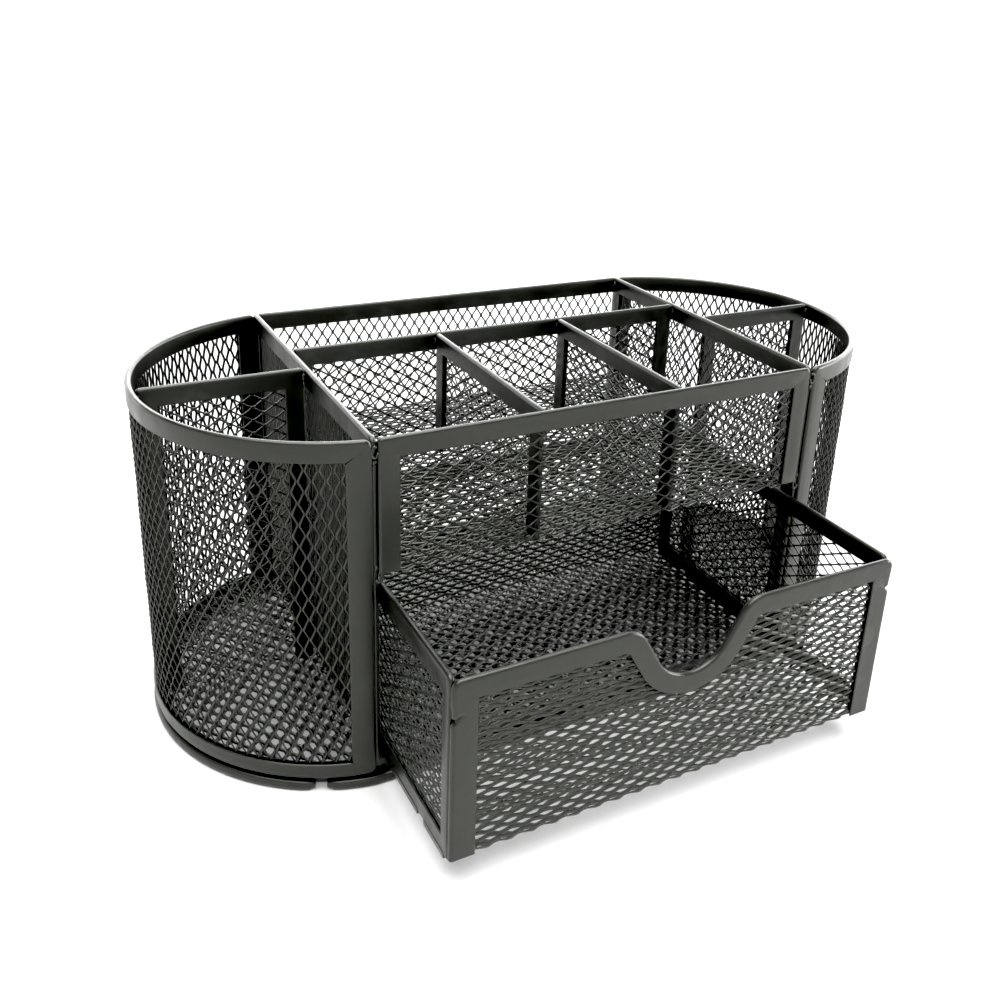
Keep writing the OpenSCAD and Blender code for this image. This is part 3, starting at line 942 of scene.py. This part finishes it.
low_z = DRAWER_Z + 1.0
top_edge = [(DRAWER_W, DRAWER_TOP)] + scoop_outline() + [(-DRAWER_W, DRAWER_TOP)]
top_legs = len(top_edge) - 1
strip_piece("drawer_front_strip", "drawer", ["drawer_front_frame"],
            wall_x(sheet_y), [(DRAWER_W, low_z)] + top_edge + [(-DRAWER_W, low_z)],
            [FRONT_POST_W] + [SCOOP_W] * top_legs + [FRONT_POST_W], phase=9.5,
            radius=[0, 2.6] + [0] * (top_legs - 1) + [2.6, 0], spacing=0.4, notch=notched, groove=cap_groove)

back_reach = DRAWER_W - STRIP_T
strip_piece("drawer_back_strip", "drawer", ["drawer_back_rim"],
            wall_x(sheet_back, out=1), [(back_reach, DRAWER_TOP), (-back_reach, DRAWER_TOP)],
            [STRIP_W], phase=9.9)

# Hem lips under each drawer side: short, long, short
LIP_SHORT = 12.5
LIP_GAP = 3.5
LIP_LEAN = 0.08
LIP_TOP = 1.1
lip_front, lip_back = runner_low[1], runner_high[1]
LIPS = ((lip_front, lip_front + LIP_SHORT),
        (lip_front + LIP_SHORT + LIP_GAP, lip_back - LIP_SHORT - LIP_GAP),
        (lip_back - LIP_SHORT, lip_back))


def lip(shape, panel, a, b):
    """One lip from a to b, with rounded corners and a slightly leaning outer face."""
    low, high = runner_low[2], DRAWER_Z + LIP_TOP
    outline = np.array(rounded([(a, high), (a, low), (b, low), (b, high)], [0.5, 1.1, 1.1, 0.5]))
    rings = []
    for n, k in ((HALF_T - 0.02, 0.3), (HALF_T - 0.3, 0.0), (-HALF_T + 0.3, 0.0), (-HALF_T, 0.3)):
        v = np.clip(outline[:, 1], low + k, high - k)
        lean = LIP_LEAN * (v - low) if n > 0 else 0.0
        rings.append(panel(np.clip(outline[:, 0], a + k, b - k), v, n + lean))
    quads, ends = skin(len(rings), len(outline))
    shape.add(np.concatenate(rings), quads, ends)


for mirror, label in SIDES:
    wall = wall_y(DRAWER_W - HALF_T)
    y0, y1 = DRAWER_FRONT + STRIP_T, DRAWER_BACK
    sheet_piece(f"drawer_side_lattice_{label}", "drawer", f"drawer_side_mesh_{label}",
                wall, (DRAWER_Z + 1.6, DRAWER_TOP - 1.4), across_rect(y0 + SHEET_LAP, y1 - SHEET_LAP),
                CELL_SIDE, mirror=mirror, lean=-1, width=0.65, thick=0.3, tilt=20, phase=10.0,
                hold=inside_of(y0 + SIDE_WRAP_W, y1 - STRIP_W, DRAWER_Z + SIDE_FOOT_W, DRAWER_TOP - STRIP_W))
    strip_piece(f"drawer_side_strip_{label}", "drawer", [f"drawer_side_frame_{label}"],
                wall, [(y0, DRAWER_Z), (y1, DRAWER_Z), (y1, DRAWER_TOP), (y0, DRAWER_TOP)],
                [SIDE_FOOT_W, STRIP_W, STRIP_W, SIDE_WRAP_W], mirror=mirror, closed=True, phase=10.5,
                radius=[0, 1.5, 1.5, 1.8])
    edge = Shape(mirror)
    for a, b in LIPS:
        lip(edge, wall, a, b)
    piece(edge, f"drawer_lips_{label}", "drawer", "strip", f"drawer_runner_{label}", sharp=SHARP)


# ---- welds and curled strip ends ----

def case_welds(shape):
    """Curled ends at a rim's front end and a tray's foot, and the spot welds of one side."""
    x_side, y_front = HALF_W - HALF_T, -HALF_D
    curl(shape, (x_side + 0.15, y_front + 0.25, TOP - 3.3), (0.75, 1.45), 0.36, 0.65 * PI, -1.6 * PI)
    blob(shape, (x_side + 0.1, y_front + 0.8, TOP - 6.0), (0.7, 0.6, 0.8), 1.0)
    curl(shape, (x_side - 0.7, y_front + 0.4, TRAY_Z - 0.2), (0.8, 1.4), 0.38, 0.5 * PI, 1.4 * PI)
    blob(shape, (x_side - 0.1, y_front + 0.9, TRAY_Z + 2.4), (0.7, 0.5, 0.9), 2.0)
    for y in (-INNER_D + 0.4, MIDDLE_Y - HALF_T - 0.3, MIDDLE_Y + HALF_T + 0.2, INNER_D - 0.3):
        blob(shape, (INNER_W - 0.1, y, TOP - 2.6), (0.7, 0.7, 1.4), 3.0 + y)
    for y in (-INNER_D + 0.2, MIDDLE_Y - HALF_T - 0.1):
        for s in (1, -1):
            blob(shape, (DIVIDER_X + s * HALF_T, y, TOP - 2.4), (0.6, 0.6, 1.3), 5.0 + y + s)
    for z in (TOP - 2.6, TOP - 40.0, FLOOR_Z + 12.0):
        for s in (1, -1):
            blob(shape, (CUP_END - 0.4, s * HALF_T, z), (0.7, 0.6, 1.3), z + s)
            blob(shape, (HALF_W + 0.2, s * HALF_T, z), (0.6, 0.6, 1.2), z - s)


def drawer_welds(shape):
    """The spot welds at one drawer side's ends and on its long lip."""
    y_front = DRAWER_FRONT + STRIP_T
    for z in (DRAWER_TOP - 2.4, DRAWER_TOP - 16.0, DRAWER_Z + 5.0):
        blob(shape, (DRAWER_W - STRIP_T, y_front + 0.1, z), (0.6, 0.6, 1.3), z)
        blob(shape, (DRAWER_W - STRIP_T, DRAWER_BACK - STRIP_T, z), (0.6, 0.6, 1.3), z + 1)
    blob(shape, (DRAWER_W - 0.45, LIPS[1][0] + 1.0, DRAWER_Z - 0.15), (0.45, 0.7, 0.5), 7.0)


for mirror, label in SIDES:
    for body, welds in (("case", case_welds), ("drawer", drawer_welds)):
        edge = Shape(mirror)
        welds(edge)
        piece(edge, f"{body}_welds_{label}", body, "strip", sharp=SHARP_WELD)


# ---- studio ----

def plain(name, color, rough):
    mat = bpy.data.materials.new(name)
    mat.use_nodes = True
    tree = mat.node_tree
    shader = tree.nodes["Principled BSDF"]
    shader.inputs["Base Color"].default_value = color + (1.0,)
    shader.inputs["Roughness"].default_value = rough
    return mat


# The floor is level around the organizer and rises far away, as a studio sweep does.
near, far, far_height = 8.0, 60.0, 34.0
corners = [(-1, -1), (1, -1), (1, 1), (-1, 1)]
places = [(x * near, y * near, 0) for x, y in corners] + [(x * far, y * far, far_height) for x, y in corners]
slopes = [(i, i + 4, (i + 1) % 4 + 4, (i + 1) % 4) for i in range(4)]
ground = bpy.data.meshes.new("studio_floor")
ground.from_pydata(places, [], [(0, 1, 2, 3)] + slopes)
ground.materials.append(plain("studio_floor", (0.9, 0.9, 0.9), 0.9))
ground_obj = bpy.data.objects.new("studio_floor", ground)
bpy.context.scene.collection.objects.link(ground_obj)

world = bpy.data.worlds.new("studio")
world.use_nodes = True
background = world.node_tree.nodes["Background"]
background.inputs["Color"].default_value = (1.0, 1.0, 1.0, 1.0)
background.inputs["Strength"].default_value = 0.05
bpy.context.scene.world = world


def aim(obj, place, target):
    obj.location = place
    obj.rotation_euler = (Vector(target) - Vector(place)).to_track_quat("-Z", "Y").to_euler()
    bpy.context.scene.collection.objects.link(obj)


def lamp(name, place, target, size, power, shine=False):
    light = bpy.data.lights.new(name, "AREA")
    light.shape = "RECTANGLE"
    light.size, light.size_y = size
    light.energy = power
    obj = bpy.data.objects.new(name, light)
    obj.visible_camera = False
    obj.visible_diffuse = not shine
    aim(obj, place, target)


ORGANIZER_MIDDLE = (0.0, 0.0, 0.05)
sun = bpy.data.lights.new("overhead", "SUN")
sun.energy = 5.0
sun.angle = math.radians(65)
aim(bpy.data.objects.new("overhead", sun), (-0.05, -0.2, 1.6), (0, 0, 0))
lamp("right_light", (1.05, -0.5, 0.24), ORGANIZER_MIDDLE, (0.35, 0.4), 7.0)
# Softboxes that show as highlights on the paint only
lamp("back_softbox", (0.9, 1.65, 1.15), ORGANIZER_MIDDLE, (2.6, 1.5), 62.0, shine=True)
lamp("low_softbox", (0.0, 2.6, 0.55), ORGANIZER_MIDDLE, (5.0, 1.0), 40.0, shine=True)
lamp("right_softbox", (2.2, 0.3, 0.7), ORGANIZER_MIDDLE, (2.0, 1.2), 40.0, shine=True)
lamp("top_softbox", (0.15, 0.35, 1.7), ORGANIZER_MIDDLE, (1.2, 0.8), 22.0, shine=True)

# The picture's darkest values go to black, as in a product photograph.
BLACK = 0.015
CAMERA_AT = Vector((-145.3, -268.4, 200.3)) * MM
CAMERA_WAY = Vector((0.4528, 0.8177, -0.3556))
CAMERA_UP = Vector((0.1337, 0.332, 0.9337))
camera = bpy.data.cameras.new("camera")
camera.sensor_width = 36.0
camera.lens = 38.51
camera.shift_x = -0.0355
camera.shift_y = -0.1075
camera.clip_start = 0.01
camera.clip_end = 50.0
forward = CAMERA_WAY.normalized()
right = forward.cross(CAMERA_UP).normalized()
up = right.cross(forward)
turn = Matrix((right, up, -forward)).transposed().to_4x4()
camera_obj = bpy.data.objects.new("camera", camera)
camera_obj.matrix_world = Matrix.Translation(CAMERA_AT) @ turn
bpy.context.scene.collection.objects.link(camera_obj)
bpy.context.scene.camera = camera_obj
view = bpy.context.scene.view_settings
view.view_transform = "Standard"
view.use_curve_mapping = True
view.curve_mapping.black_level = (BLACK, BLACK, BLACK)
view.curve_mapping.update()
